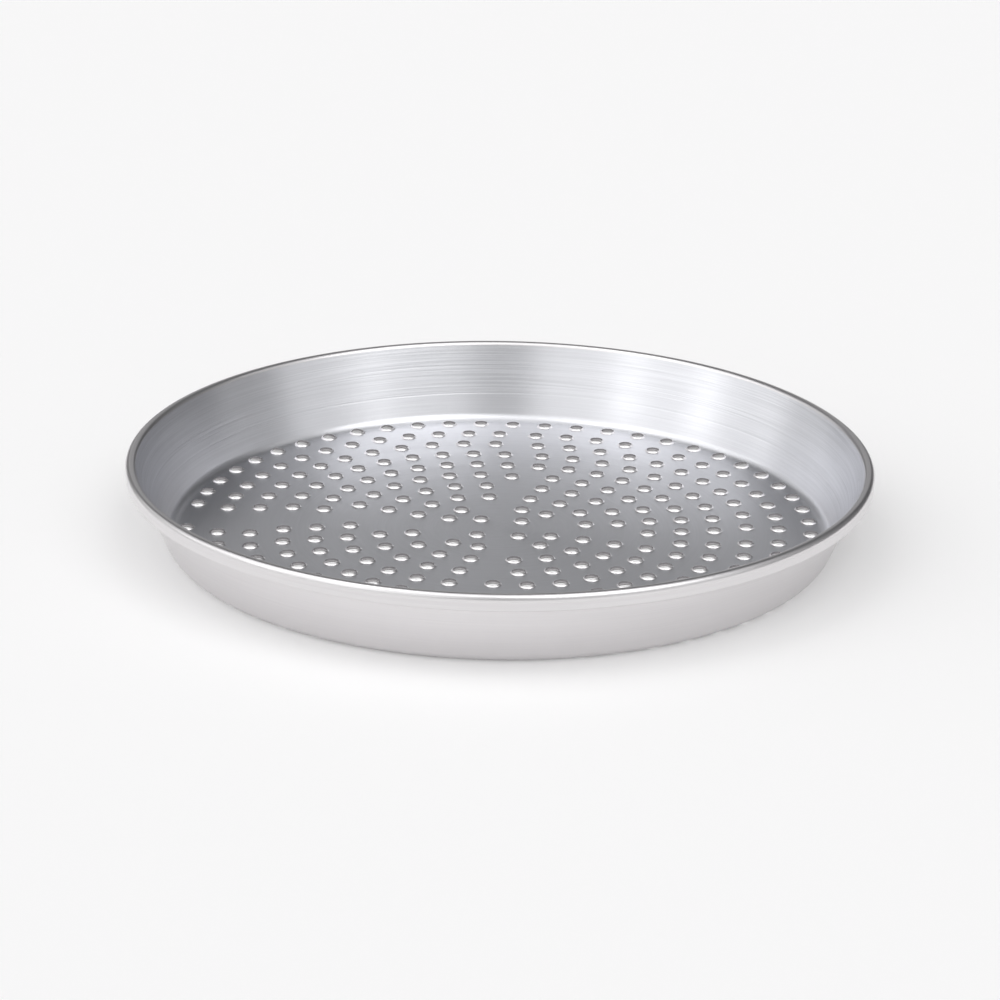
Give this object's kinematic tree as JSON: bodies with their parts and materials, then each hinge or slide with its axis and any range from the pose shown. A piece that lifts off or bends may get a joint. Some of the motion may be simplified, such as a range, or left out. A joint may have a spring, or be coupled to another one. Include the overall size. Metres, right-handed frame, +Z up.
{
  "type": "perforated pizza pan",
  "caption": "Round deep pizza pan of satin aluminium: perforated flat floor, flared wall and a rim rolled over a wire.",
  "frame": {"origin": "on the table, under the middle of the pan's flat base", "axes": "+Z up out of the open dish, square to the base; +Y to the back and +X to the right as the picture shows the pan"},
  "size_m": [0.32, 0.32, 0.0355],
  "materials": {
    "pan_sheet": "satin, turned on the inside, with fine rings round the axis",
    "wire_steel": "drawn wire"
  },
  "bodies": {
    "root": {"pan_shell": "pan_sheet", "rim_wire": "wire_steel"}
  },
  "joints": []
}
